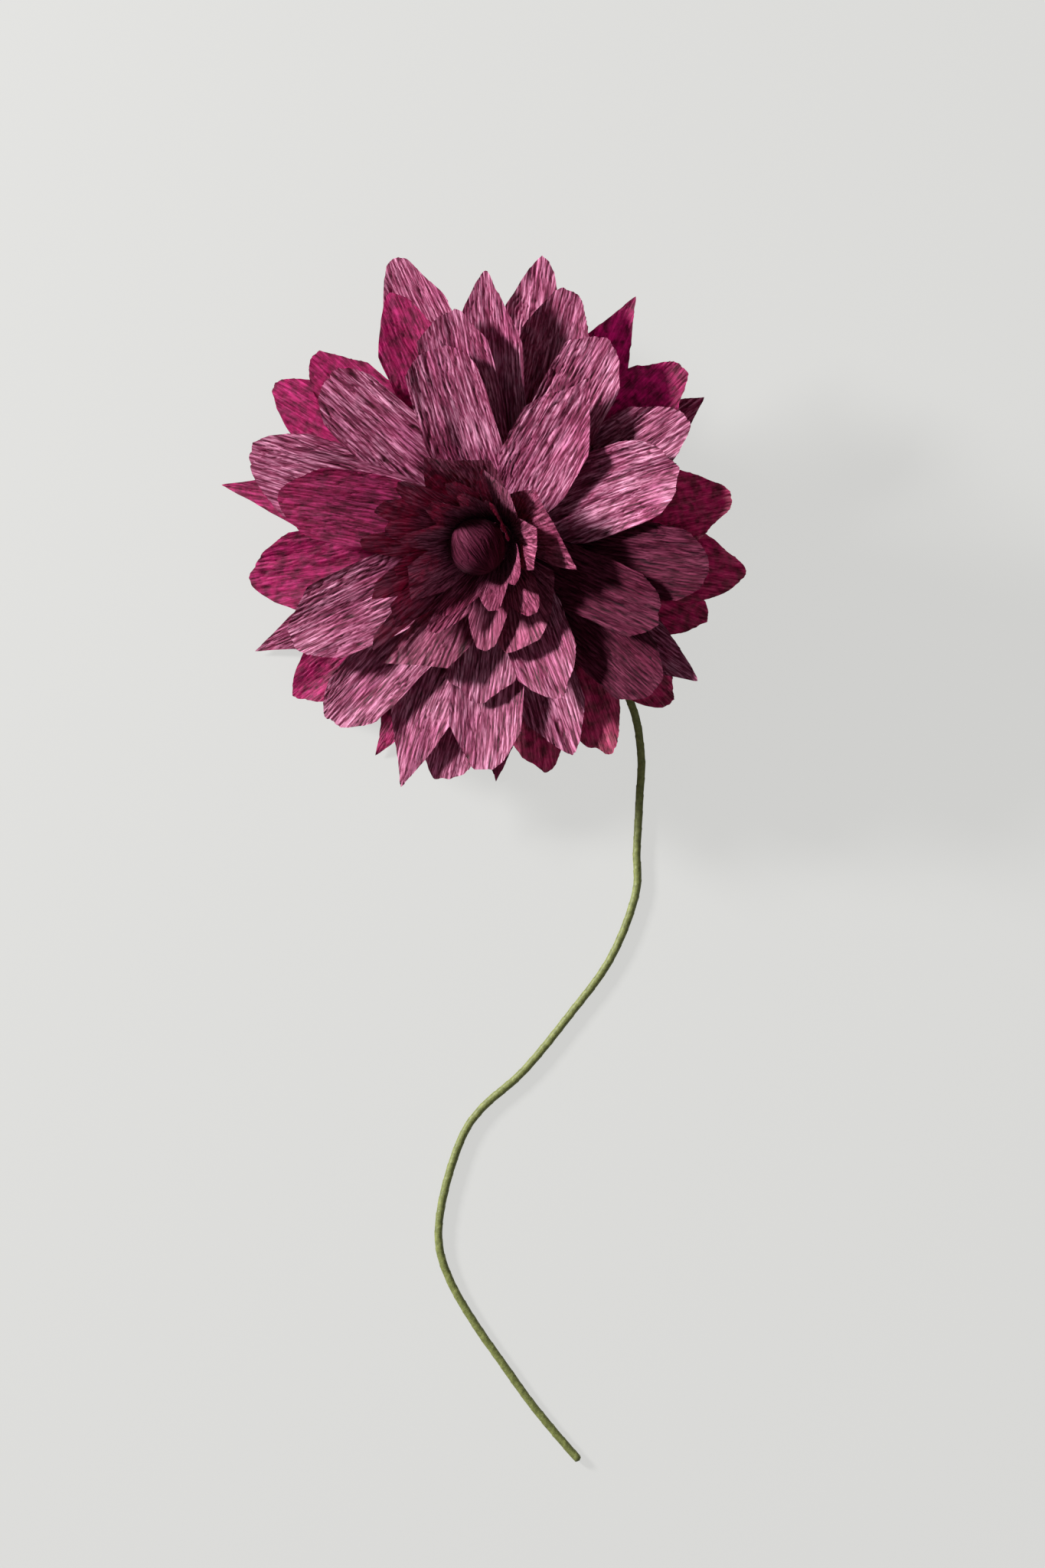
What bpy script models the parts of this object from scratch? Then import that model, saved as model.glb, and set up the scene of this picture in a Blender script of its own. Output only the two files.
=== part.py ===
"""Giant paper flower: crepe petals round a covered ball on a taped wire stem, lying on its back."""
import math

import bmesh
import bpy
from mathutils import Matrix, Vector

MM = 0.001

# Head: how far its axis leans from straight up, and towards which side (degrees from +X)
LEAN = 22.0
LEAN_SIDE = 205.0
# Height of the head's middle (the point the petals spread from) over the table, mm
HEAD_HEIGHT = 25.0

# Petal places are given as seen from straight above, this high over the head's middle (mm)
VIEW_HEIGHT = 1410.0
VIEW_X = 3.4
VIEW_Y = -89.1

# Rows of large petals on the core, from the front row (first value) to the back row (second), mm
ROWS = 7
ROW_BASE = (11.0, -7.0)
ROW_RISE = (12.0, 3.0)
ROW_SLOPE = (0.30, 0.14)
RISE_REACH = 14.0
PETAL_FOOT = 6.8
PETAL_THICK = 0.5
PETAL_COLUMNS = 4
PETAL_STEPS = 7
FOOT_WIDTH = 3.4
CUP = 24.0

# Petal tip cuts: how far the sides are cut back (share of the length), and how sharply
TIPS = {
    "round": (0.20, 2.0),
    "blunt": (0.13, 2.4),
    "ogive": (0.26, 1.5),
    "point": (0.34, 1.1),
}

# Large petals: row (0 front), angle and reach of the tip as seen, width, tip cut, then
# optional changes: lift of the tip, curl of the last part, sway to the side, cup, roll
PETALS = (
    (0, 111.5, 74, 29, "blunt", {}),
    (-0.3, 64, 63, 30, "point", {}),
    (0.65, 22.5, 64, 30, "blunt", {"sway": 2.0}),
    (0.15, 332, 60, 24, "blunt", {}),
    (-0.35, 287, 60, 27, "round", {"sway": 1.5}),
    (0, 170.5, 86, 27, "round", {"sway": -2.0}),
    (1, 106, 84, 28, "blunt", {}),
    (1.25, 64, 79, 27, "blunt", {}),
    (1.2, 351, 72, 27, "blunt", {}),
    (1.6, 314, 75, 28, "blunt", {}),
    (1, 259, 60, 27, "blunt", {}),
    (1, 205, 89, 30, "round", {}),
    (1, 165, 98, 28, "round", {}),
    (2, 96, 95, 27, "ogive", {}),
    (2, 139.5, 88, 28, "blunt", {}),
    (2, 189, 95, 30, "round", {}),
    (2.3, 226, 93, 26, "blunt", {}),
    (1.8, 263, 85, 28, "round", {}),
    (2, 35, 76, 28, "round", {}),
    (3, 10, 80, 28, "round", {}),
    (3.45, 45, 87, 27, "round", {}),
    (3, 117, 97, 27, "round", {}),
    (3, 162, 100, 28, "round", {}),
    (3, 246, 99, 27, "point", {"sway": -4.0}),
    (3, 285, 80, 26, "round", {}),
    (3.3, 322, 85, 26, "point", {}),
    (4, 77, 92, 27, "round", {}),
    (4, 138, 97, 28, "round", {}),
    (4, 216, 97, 27, "round", {}),
    (4, 254, 92, 28, "round", {}),
    (4, 294, 85, 25, "round", {"sway": 3.0}),
    (4, 351, 84, 28, "round", {}),
    (5, 84, 102, 26, "ogive", {}),
    (5, 36, 86, 27, "point", {}),
    (5, 337, 76, 28, "round", {}),
    (5, 278, 85, 27, "round", {}),
    (5, 238, 93, 26, "point", {"lift": -9.0}),
    (5, 148, 101, 28, "round", {}),
    (6, 113, 109, 27, "round", {}),
    (6, 63, 97, 27, "point", {}),
    (6, 314, 83, 27, "round", {}),
    (6, 266, 88, 26, "point", {"lift": -14.5}),
    (6, 204, 102, 24, "point", {"lift": 6.7}),
    (6, 170, 106, 24.5, "point", {"lift": -0.5}),
)

# Core, ball and cover on the head's axis, mm
CORE_RADIUS = 6.5
CORE_BOTTOM = -8.0
BUD_CENTRE = 36.5
BALL_RADIUS = 9.5
FIT_GAP = 0.2
COVER_THICK = 0.4
COVER_INNER = BALL_RADIUS + FIT_GAP
COVER_OUTER = COVER_INNER + COVER_THICK
COVER_REACH = 155
# The core ends under the ball, with its rim worked in for the cover's edge
CORE_TOP = BUD_CENTRE - BALL_RADIUS - 0.3
RIM = ((-2.7, 0.0), (-1.5, -2.2), (0.0, -5.7))
BORE_STEP = 2.0
LATHE_SIDES = 16

# Inner fringed strips, wound round the core: seam angle, foot height, flare, then each tooth by
# its tip or its two corners: x and y from the head's middle as seen from above, and height
STRIPS = (
    (8, 21.0, 0.6, (
        (-4, 0, 52), (-8, 13.5, 53), (-18, 16.5, 54), (-30, 11, 56), (-39.5, -1.5, 58),
        (-38, -11, 57, -35.5, -22, 55), (-25, -27.5, 49), (-5.5, -27, 47.5), (0.5, -15.5, 51),
    )),
    (336, 19.0, 0.0, (
        (6.5, -12, 54, 7, 2.5, 55), (-1.5, 16, 56, -11, 24.5, 57), (-22, 20.5, 57), (-41, 18.5, 58.5),
        (-46, 3, 59), (-43, -13.5, 55), (-44.5, -25, 54, -42.5, -33.5, 52), (-30, -35, 46),
        (-10, -41, 43), (8.5, -27, 47),
    )),
    (345, 17.0, -0.6, (
        (23, -12, 50, 8, 16.5, 53), (-8, 27, 55, -32.5, 29, 56), (-49.5, 11, 56), (-55.5, -2, 59),
        (-50, -20, 54), (-50.5, -40, 48), (-46, -45, 43, -24, -47.5, 41), (1.5, -42, 40.5),
    )),
)
SEAM_GAP = 3.0
TIP_SHARE = 0.3
STRIP_FOOT = CORE_RADIUS + 0.6
STRIP_THICK = 0.5
STRIP_SPLIT = 0.66
TOOTH_COLUMNS = 2
BAND_ROWS = 2
TOOTH_ROWS = 2

# Calyx wrap under the head, stem wire and stem tape, mm
WIRE_RADIUS = 0.8
WIRE_TOP = BUD_CENTRE - 3.5
TAPE_RADIUS = 1.5
TAPE_THICK = 0.4
BORE = WIRE_RADIUS + FIT_GAP
SLEEVE = TAPE_RADIUS + FIT_GAP
CALYX_TOP = CORE_BOTTOM - 0.3
CALYX = (
    (SLEEVE, 0.0), (CORE_RADIUS + 0.9, 0.0), (CORE_RADIUS + 0.1, -1.3), (4.6, -3.5), (2.9, -5.9),
    (SLEEVE + 0.4, -8.2), (SLEEVE, -8.2),
)
TAPE_START = CALYX_TOP - 0.5
TAPE_DOWN = CALYX_TOP - 4.2
BEND_START = CALYX_TOP + CALYX[-1][1]
BEND_PULL = (7.4, 22.0)
BEND_STEPS = 8
STEM_STEP = 10.0

# Colour (linear), roughness and metallic value of each material
LOOKS = {
    "plum_crepe": ((0.32, 0.075, 0.19), 0.85, 0.0),
    "dark_crepe": ((0.20, 0.04, 0.09), 0.85, 0.0),
    "white_foam": ((0.85, 0.85, 0.85), 0.7, 0.0),
    "green_tape": ((0.22, 0.29, 0.09), 0.7, 0.0),
    "steel_wire": ((0.5, 0.5, 0.5), 0.4, 1.0),
}

# The stem's way over the table as seen from above, mm from the head's middle
STEM_WAY = (
    (27, -33), (36, -47), (42, -59), (44.5, -71), (46, -78), (46, -86), (45.5, -94), (44.8, -102),
    (44.5, -113), (44.3, -120), (44, -129), (41.5, -140), (35, -152), (25.5, -165.5), (19.3, -173.5),
    (10.7, -184), (3.6, -192.5), (-4.4, -199.5), (-11, -205.5), (-14.6, -211), (-18.7, -217),
    (-22.3, -227), (-25, -237), (-26.7, -245.5), (-26.7, -254), (-25, -261), (-22.3, -268.5),
    (-19, -276), (-13.2, -284), (-8.3, -291), (-5.2, -295.5), (1.4, -304), (7.4, -313), (13.8, -320.5),
    (19.5, -327.5), (24.2, -332.8),
)

AXIS_TURN = (
    Matrix.Rotation(math.radians(LEAN_SIDE), 3, "Z")
    @ Matrix.Rotation(math.radians(LEAN), 3, "Y")
    @ Matrix.Rotation(math.radians(-LEAN_SIDE), 3, "Z")
)
AXIS = AXIS_TURN @ Vector((0, 0, 1))


def mix(pair, share):
    return pair[0] + (pair[1] - pair[0]) * share


def clear_scene():
    for obj in list(bpy.data.objects):
        bpy.data.objects.remove(obj, do_unlink=True)


def make_materials():
    made = {}
    for name, (color, rough, metal) in LOOKS.items():
        mat = bpy.data.materials.new(name)
        mat.use_nodes = True
        shader = mat.node_tree.nodes["Principled BSDF"]
        shader.inputs["Base Color"].default_value = (*color, 1)
        shader.inputs["Roughness"].default_value = rough
        shader.inputs["Metallic"].default_value = metal
        made[name] = mat
    return made


def add_piece(name, data, look, parent):
    """Link a named piece with its material, placed under its parent."""
    obj = bpy.data.objects.new(name, data)
    bpy.data.collections["giant_paper_flower"].objects.link(obj)
    data.materials.append(bpy.data.materials[look])
    obj.parent = parent
    return obj


def add_empty(name, parent=None):
    obj = bpy.data.objects.new(name, None)
    bpy.data.collections["giant_paper_flower"].objects.link(obj)
    obj.parent = parent
    return obj


def solidify(obj, thick, offset=0.0):
    mod = obj.modifiers.new("Paper", "SOLIDIFY")
    mod.thickness = thick * MM
    mod.offset = offset


# Large petals

def row_height(row, radius):
    """Height along the axis of a petal row's surface at this distance from the axis."""
    share = row / (ROWS - 1)
    out = radius - PETAL_FOOT
    rise = mix(ROW_RISE, share) * (1 - math.exp(-out / RISE_REACH))
    return mix(ROW_BASE, share) + rise + mix(ROW_SLOPE, share) * out


def seen_point(x, y, z):
    """Place at height z that shows at x and y from the head's middle, from above."""
    nearer = 1 - z / VIEW_HEIGHT
    return Vector((VIEW_X + (x - VIEW_X) * nearer, VIEW_Y + (y - VIEW_Y) * nearer, z))


def aim(x, y, wanted):
    """Turn round the axis and distance from it that put a tip of this height where it is seen."""
    z = 0.0
    for _ in range(20):
        place = seen_point(x, y, z)
        height = place.dot(AXIS)
        out = place - AXIS * height
        z += (wanted(out.length) - height) / AXIS.z
    flat = AXIS_TURN.inverted() @ out
    return math.atan2(flat.y, flat.x), out.length


def petal_width(share, width):
    """Half width of a petal at this share of its length."""
    grow = math.sin(min(share / 0.60, 1.0) * math.pi / 2) ** 0.85
    narrow = 1 - 0.16 * max(0.0, (share - 0.68) / 0.32) ** 2
    return FOOT_WIDTH / 2 + (width - FOOT_WIDTH) / 2 * grow * narrow


def petal_line(row, length, share, more):
    """Point of a petal's middle line, which leaves the core along +X."""
    radius = PETAL_FOOT + (length - PETAL_FOOT) * share
    bend = more.get("lift", 0.0) * share ** 2 + more.get("curl", 0.0) * max(0.0, (share - 0.6) / 0.4) ** 2
    sway = more.get("sway", 0.0) * 4 * share * (1 - share)
    return Vector((radius, sway, row_height(row, radius) + bend))


def petal_point(row, length, width, tip, more, share, across):
    """Point of a petal's sheet: share of its length, and across it from -1 to 1."""
    cut, power = TIPS[tip]
    share *= 1 - cut * abs(across) ** power
    here = petal_line(row, length, share, more)
    ahead = petal_line(row, length, share + 0.01, more) - petal_line(row, length, share - 0.01, more)
    side = Vector((0, 1, 0))
    up = ahead.cross(side).normalized()
    roll = math.radians(more.get("roll", 0.0)) * share
    level = side * math.cos(roll) + up * math.sin(roll)
    over = up * math.cos(roll) - side * math.sin(roll)
    cup = math.radians(more.get("cup", CUP)) * (0.55 + 0.45 * share)
    radius = petal_width(share, width) / cup
    return here + level * radius * math.sin(cup * across) + over * radius * (1 - math.cos(cup * across))


def build_petal(name, spec, head):
    row, angle, reach, width, tip, more = spec
    lift = more.get("lift", 0.0) + more.get("curl", 0.0)
    seen = math.radians(angle)
    turn, length = aim(reach * math.cos(seen), reach * math.sin(seen), lambda r: row_height(row, r) + lift)
    bm = bmesh.new()
    bmesh.ops.create_grid(bm, x_segments=PETAL_STEPS, y_segments=PETAL_COLUMNS, size=1.0)
    for v in bm.verts:
        v.co = petal_point(row, length, width, tip, more, (v.co.x + 1) / 2, v.co.y) * MM
    mesh = bpy.data.meshes.new(name)
    bm.to_mesh(mesh)
    bm.free()
    mesh.shade_smooth()
    petal = add_piece(name, mesh, "plum_crepe", head)
    petal.rotation_euler.z = turn
    solidify(petal, PETAL_THICK)


# Turned pieces on the head's axis

def turned(name, profile, closed, look, head):
    """Piece turned round the axis from an outline of (radius, height)."""
    count = len(profile)
    edges = [(i, (i + 1) % count) for i in range(count if closed else count - 1)]
    mesh = bpy.data.meshes.new(name)
    mesh.from_pydata([(r * MM, 0, h * MM) for r, h in profile], edges, [])
    piece = add_piece(name, mesh, look, head)
    mod = piece.modifiers.new("Turn", "SCREW")
    mod.steps = mod.render_steps = LATHE_SIDES
    mod.use_merge_vertices = True
    mod.merge_threshold = 0.00001


def arc(radius, start, end, steps):
    """Outline points round the bud's middle, from one angle off the axis to another."""
    turn = [math.radians(start + (end - start) * i / steps) for i in range(steps + 1)]
    return [(radius * math.sin(a), BUD_CENTRE + radius * math.cos(a)) for a in turn]


def build_middle(head):
    low = math.degrees(math.asin(BORE / BALL_RADIUS))
    hole = [(BORE, WIRE_TOP + 0.3), (0, WIRE_TOP + 0.3)]
    turned("bud_ball", arc(BALL_RADIUS, 0, 180 - low, 8) + hole, False, "white_foam", head)
    cover = arc(COVER_OUTER, 0, COVER_REACH, 8) + arc(COVER_INNER, COVER_REACH, 0, 8)
    turned("bud_cover", cover, False, "dark_crepe", head)
    core = [(BORE, CORE_TOP)] + [(CORE_RADIUS + r, CORE_TOP + h) for r, h in RIM]
    core += [
        (CORE_RADIUS, CORE_BOTTOM), (SLEEVE, CORE_BOTTOM), (SLEEVE, CORE_BOTTOM + BORE_STEP),
        (BORE, CORE_BOTTOM + BORE_STEP),
    ]
    turned("core_roll", core, True, "dark_crepe", head)
    turned("calyx_wrap", [(r, CALYX_TOP + h) for r, h in CALYX], True, "green_tape", head)


# Fringed strips

def strip_teeth(strip):
    """Angle, distance and height of each corner, and each tooth's first and last angle at the
    split and at its end."""
    seam, teeth = strip[0], strip[3]
    corners, ends = [], []
    for tooth in teeth:
        for x, y, height in zip(tooth[::3], tooth[1::3], tooth[2::3]):
            turn, radius = aim(x, y, lambda r: height)
            corners.append((seam + (math.degrees(turn) - seam) % 360, radius, height))
        ends.append((corners[-(len(tooth) // 3)][0], corners[-1][0]))
    parts = [(a[1] + b[0]) / 2 for a, b in zip(ends, ends[1:])]
    sides = [seam + SEAM_GAP] + parts + [seam + 360 - SEAM_GAP]
    spans = []
    for (first, last), left, right in zip(ends, sides, sides[1:]):
        if first == last:
            first, last = mix((first, left), TIP_SHARE), mix((last, right), TIP_SHARE)
        spans.append(((left, right), (first, last)))
    return corners, spans


def end_at(corners, angle):
    """Distance and height of the strip's end at this angle, straight from corner to corner."""
    angle = min(max(angle, corners[0][0]), corners[-1][0])
    for a, b in zip(corners, corners[1:]):
        if angle <= b[0]:
            ahead = a[1] * math.sin(math.radians(angle - a[0]))
            across = ahead + b[1] * math.sin(math.radians(b[0] - angle))
            radius = a[1] * b[1] * math.sin(math.radians(b[0] - a[0])) / across
            return radius, mix((a[2], b[2]), ahead / across)


def strip_point(strip, corners, span, along, up):
    """Point of a strip's sheet; above the split each tooth narrows to its own end."""
    foot, flare = strip[1:3]
    share = max(0.0, (up - STRIP_SPLIT) / (1 - STRIP_SPLIT))
    angle = mix((mix(span[0], along), mix(span[1], along)), share)
    radius, height = end_at(corners, angle)
    bow = flare * 4 * up * (1 - up)
    radius = mix((STRIP_FOOT, radius), up) + bow
    height = mix((foot, height), up) - bow
    angle = math.radians(angle)
    return Vector((radius * math.cos(angle), radius * math.sin(angle), height))


def build_strip(name, strip, head):
    """A sheet cut into teeth down to the split, then wound round the core."""
    count = len(strip[3])
    corners, spans = strip_teeth(strip)
    rows = BAND_ROWS + TOOTH_ROWS
    bm = bmesh.new()
    bmesh.ops.create_grid(bm, x_segments=count * TOOTH_COLUMNS, y_segments=rows, size=1.0)
    for v in bm.verts:
        row = round((v.co.y + 1) / 2 * rows)
        if row <= BAND_ROWS:
            up = STRIP_SPLIT * row / BAND_ROWS
        else:
            up = STRIP_SPLIT + (1 - STRIP_SPLIT) * (row - BAND_ROWS) / TOOTH_ROWS
        v.co = Vector(((v.co.x + 1) / 2 * count, up, 0))
    cuts = [
        e for e in bm.edges
        if not e.is_boundary and min(v.co.y for v in e.verts) > STRIP_SPLIT - 0.001
        and abs(e.verts[0].co.x - e.verts[1].co.x) < 0.001
        and abs(e.verts[0].co.x - round(e.verts[0].co.x)) < 0.001
    ]
    bmesh.ops.split_edges(bm, edges=cuts)
    places = []
    for v in bm.verts:
        middle = sum(f.calc_center_median().x for f in v.link_faces) / len(v.link_faces)
        tooth = math.floor(middle)
        places.append(strip_point(strip, corners, spans[tooth], v.co.x - tooth, v.co.y) * MM)
    for v, place in zip(bm.verts, places):
        v.co = place
    mesh = bpy.data.meshes.new(name)
    bm.to_mesh(mesh)
    bm.free()
    solidify(add_piece(name, mesh, "dark_crepe", head), STRIP_THICK)


# Stem

def spline(knots, step):
    """Smooth line through the knots with a point about every step."""
    line = []
    ends = [knots[0] * 2 - knots[1]] + list(knots) + [knots[-1] * 2 - knots[-2]]
    for a, b, c, d in zip(ends, ends[1:], ends[2:], ends[3:]):
        count = max(1, round((c - b).length / step))
        for i in range(count):
            t = i / count
            line.append((b * 2 + (c - a) * t + (a * 2 - b * 5 + c * 4 - d) * t * t
                         + (b * 3 - a - c * 3 + d) * t ** 3) / 2)
    line.append(knots[-1].copy())
    return line


def stem_line():
    """Middle line of the stem: round the bend under the head, then over the table."""
    low = TAPE_RADIUS - HEAD_HEIGHT
    nearer = 1 - low / VIEW_HEIGHT
    knots = [
        Vector((VIEW_X + (x - VIEW_X) * nearer, VIEW_Y + (y - VIEW_Y) * nearer, low))
        for x, y in STEM_WAY[::2] + STEM_WAY[-1:]
    ]
    way = spline(knots, STEM_STEP)
    foot = AXIS * BEND_START
    first = foot - AXIS * BEND_PULL[0]
    back = way[0] - (way[1] - way[0]).normalized() * BEND_PULL[1]
    bend = []
    for i in range(BEND_STEPS):
        t = i / BEND_STEPS
        bend.append(foot * (1 - t) ** 3 + first * 3 * t * (1 - t) ** 2
                    + back * 3 * t * t * (1 - t) + way[0] * t ** 3)
    return bend + way


def round_curve(name, line, radius):
    curve = bpy.data.curves.new(name, "CURVE")
    curve.dimensions = "3D"
    curve.bevel_depth = radius * MM
    curve.bevel_resolution = 2
    curve.use_fill_caps = True
    path = curve.splines.new("POLY")
    path.points.add(len(line) - 1)
    for point, place in zip(path.points, line):
        point.co = (*(place * MM), 1)
    return curve


def build_stem(lifted):
    way = stem_line()
    wire = [AXIS * h for h in (WIRE_TOP, 12.0, TAPE_START, TAPE_DOWN)] + way[:-1]
    add_piece("stem_wire", round_curve("stem_wire", wire, WIRE_RADIUS), "steel_wire", lifted)

    sleeve = [AXIS * h for h in (TAPE_START, TAPE_DOWN)] + way
    guide = add_piece("tape_guide", round_curve("tape_guide", sleeve, TAPE_RADIUS), "green_tape", lifted)
    depsgraph = bpy.context.evaluated_depsgraph_get()
    mesh = bpy.data.meshes.new_from_object(guide.evaluated_get(depsgraph))
    mesh.name = "stem_tape"
    bpy.data.objects.remove(guide, do_unlink=True)
    bm = bmesh.new()
    bm.from_mesh(mesh)
    bmesh.ops.remove_doubles(bm, verts=bm.verts, dist=0.00001)
    start = AXIS * TAPE_START * MM
    opened = [f for f in bm.faces if all((v.co - start).length < TAPE_RADIUS * 1.01 * MM for v in f.verts)]
    bmesh.ops.delete(bm, geom=opened, context="FACES")
    bm.to_mesh(mesh)
    bm.free()
    mesh.materials.clear()
    solidify(add_piece("stem_tape", mesh, "green_tape", lifted), TAPE_THICK, -1.0)


def settle(root):
    """Move the whole flower so that its box's bottom centre is the origin."""
    depsgraph = bpy.context.evaluated_depsgraph_get()
    corners = []
    for obj in root.children_recursive:
        if obj.type != "EMPTY":
            seen = obj.evaluated_get(depsgraph)
            mesh = seen.to_mesh()
            corners += [seen.matrix_world @ v.co for v in mesh.vertices]
            seen.to_mesh_clear()
    low = Vector([min(c[i] for c in corners) for i in range(3)])
    high = Vector([max(c[i] for c in corners) for i in range(3)])
    root.location = Vector((-(low.x + high.x) / 2, -(low.y + high.y) / 2, -low.z))


def build():
    clear_scene()
    bpy.context.scene.collection.children.link(bpy.data.collections.new("giant_paper_flower"))
    make_materials()
    root = add_empty("flower")
    head = add_empty("head", root)
    head.rotation_euler = AXIS_TURN.to_euler()
    build_middle(head)
    for number, strip in enumerate(STRIPS, 1):
        build_strip(f"inner_strip_{number}", strip, head)
    for number, spec in enumerate(PETALS, 1):
        build_petal(f"petal_{number:02d}", spec, head)
    build_stem(root)
    settle(root)
    bpy.context.view_layer.update()


build()
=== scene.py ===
"""Giant paper flower: crepe petals and fringes, covered bud, taped stem, studio floor and light."""
import math

import bpy
import numpy as np
from mathutils import Matrix, Vector


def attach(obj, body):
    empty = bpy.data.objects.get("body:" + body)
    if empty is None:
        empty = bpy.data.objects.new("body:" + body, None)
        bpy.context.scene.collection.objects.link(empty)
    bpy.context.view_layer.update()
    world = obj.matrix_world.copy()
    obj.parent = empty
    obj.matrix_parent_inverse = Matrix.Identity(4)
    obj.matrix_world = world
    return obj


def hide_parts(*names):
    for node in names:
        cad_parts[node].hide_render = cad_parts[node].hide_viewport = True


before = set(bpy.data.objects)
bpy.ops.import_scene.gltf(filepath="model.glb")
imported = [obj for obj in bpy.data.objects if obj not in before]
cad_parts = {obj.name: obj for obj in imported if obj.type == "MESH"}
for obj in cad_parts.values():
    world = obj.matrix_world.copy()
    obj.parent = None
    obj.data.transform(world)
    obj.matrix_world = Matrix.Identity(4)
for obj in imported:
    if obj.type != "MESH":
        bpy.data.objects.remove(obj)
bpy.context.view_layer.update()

MM = 0.001

# The head's middle in the frame, the lean of its axis and the camera's height over it
HEAD = Vector((13.029, 119.514, 25.125))
LEAN = 22.0
LEAN_SIDE = 205.0
VIEW_HEIGHT = 1410.0
VIEW_X = 3.4
VIEW_Y = -89.1

AXIS_TURN = (
    Matrix.Rotation(math.radians(LEAN_SIDE), 3, "Z")
    @ Matrix.Rotation(math.radians(LEAN), 3, "Y")
    @ Matrix.Rotation(math.radians(-LEAN_SIDE), 3, "Z")
)
AXIS = AXIS_TURN @ Vector((0, 0, 1))
TURN = np.array(AXIS_TURN)

# Rows of large petals, mm, as in the solids, but with the full width reached a little earlier
ROWS = 7
ROW_BASE = (11.0, -7.0)
ROW_RISE = (12.0, 3.0)
ROW_SLOPE = (0.30, 0.14)
RISE_REACH = 14.0
PETAL_FOOT = 6.8
FOOT_WIDTH = 3.4
CUP = 24.0
FULL_WIDTH_AT = 0.52
TIPS = {
    "round": (0.20, 2.0),
    "blunt": (0.13, 2.4),
    "ogive": (0.26, 1.5),
    "point": (0.34, 1.1),
}

# Row, seen angle and reach of the tip, width, tip cut, shape changes, and the paper's look, some of which
# paints shade or light into the colour
PETALS = (
    (0, 111.5, 74, 29, "blunt", {}, "plum"),
    (-0.3, 64, 63, 30, "point", {}, "plum"),
    (0.65, 22.5, 64, 30, "blunt", {"sway": 2.0}, "plum"),
    (0.15, 332, 60, 24, "blunt", {}, "painted_shade"),
    (-0.35, 287, 60, 27, "round", {"sway": 1.5}, "plum"),
    (0, 170.5, 86, 27, "round", {"sway": -2.0}, "glow"),
    (1, 106, 84, 28, "blunt", {}, "plum"),
    (1.25, 64, 79, 27, "blunt", {}, "plum"),
    (1.2, 351, 72, 27, "blunt", {}, "painted_shade"),
    (1.6, 314, 75, 28, "blunt", {}, "painted_shade"),
    (1, 259, 60, 27, "blunt", {}, "plum"),
    (1, 205, 89, 30, "round", {}, "plum"),
    (1, 165, 98, 28, "round", {}, "plum"),
    (2, 96, 95, 27, "ogive", {}, "plum"),
    (2, 139.5, 88, 28, "blunt", {}, "plum"),
    (2, 189, 95, 30, "round", {}, "glow"),
    (2.3, 226, 93, 26, "blunt", {}, "plum"),
    (1.8, 263, 85, 28, "round", {}, "plum"),
    (2, 35, 76, 28, "round", {}, "plum"),
    (3, 10, 80, 28, "round", {}, "painted_light"),
    (3.45, 45, 87, 27, "round", {}, "glow"),
    (3, 117, 97, 27, "round", {}, "glow"),
    (3, 162, 100, 28, "round", {}, "plum"),
    (3, 246, 99, 27, "point", {"sway": -4.0}, "plum"),
    (3, 285, 80, 26, "round", {}, "plum"),
    (3.3, 322, 85, 26, "point", {}, "plum"),
    (4, 77, 92, 27, "round", {}, "plum"),
    (4, 138, 97, 28, "round", {}, "glow"),
    (4, 216, 97, 27, "round", {}, "glow"),
    (4, 254, 92, 28, "round", {}, "plum"),
    (4, 294, 85, 25, "round", {"sway": 3.0}, "painted_light"),
    (4, 351, 84, 28, "round", {}, "painted_light"),
    (5, 84, 102, 26, "ogive", {}, "plum"),
    (5, 36, 86, 27, "point", {}, "plum"),
    (5, 337, 76, 28, "round", {}, "painted_light"),
    (5, 278, 85, 27, "round", {}, "painted_light"),
    (5, 238, 93, 26, "point", {"lift": -9.0}, "glow"),
    (5, 148, 101, 28, "round", {}, "glow"),
    (6, 113, 109, 27, "round", {}, "plum"),
    (6, 63, 97, 27, "point", {}, "glow"),
    (6, 314, 83, 27, "round", {}, "painted_light"),
    (6, 266, 88, 26, "point", {"lift": -14.5}, "glow"),
    (6, 204, 102, 24, "point", {"lift": 6.7}, "plum"),
    (6, 170, 106, 24.5, "point", {"lift": -0.5}, "glow"),
)

# Fringed strips: seam angle, foot height, flare, then each tooth by its tip or its two corners:
# x and y from the head's middle as seen from above, and height
STRIPS = (
    (8, 21.0, 0.6, (
        (-4, 0, 52), (-8, 13.5, 53), (-18, 16.5, 54), (-30, 11, 56), (-39.5, -1.5, 58),
        (-38, -11, 57, -35.5, -22, 55), (-25, -27.5, 49), (-5.5, -27, 47.5), (0.5, -15.5, 51),
    )),
    (336, 19.0, 0.0, (
        (6.5, -12, 54, 7, 2.5, 55), (-1.5, 16, 56, -11, 24.5, 57), (-22, 20.5, 57), (-41, 18.5, 58.5),
        (-46, 3, 59), (-43, -13.5, 55), (-44.5, -25, 54, -42.5, -33.5, 52), (-30, -35, 46),
        (-10, -41, 43), (8.5, -27, 47),
    )),
    (345, 17.0, -0.6, (
        (23, -12, 50, 8, 16.5, 53), (-8, 27, 55, -32.5, 29, 56), (-49.5, 11, 56), (-55.5, -2, 59),
        (-50, -20, 54), (-50.5, -40, 48), (-46, -45, 43, -24, -47.5, 41), (1.5, -42, 40.5),
    )),
)
SEAM_GAP = 3.0
TIP_SHARE = 0.3
STRIP_FOOT = 7.1
STRIP_SPLIT = 0.66
# Distance from the axis at which the creases have their true pitch
STRIP_RADIUS = 28.0

# Bud: its cover's middle surface, how far it reaches round, and the way of its creases (degrees)
BUD_CENTRE = 36.5
BUD_RADIUS = 9.95
BUD_REACH = 155.0
BUD_GRAIN = 305.0

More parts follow.
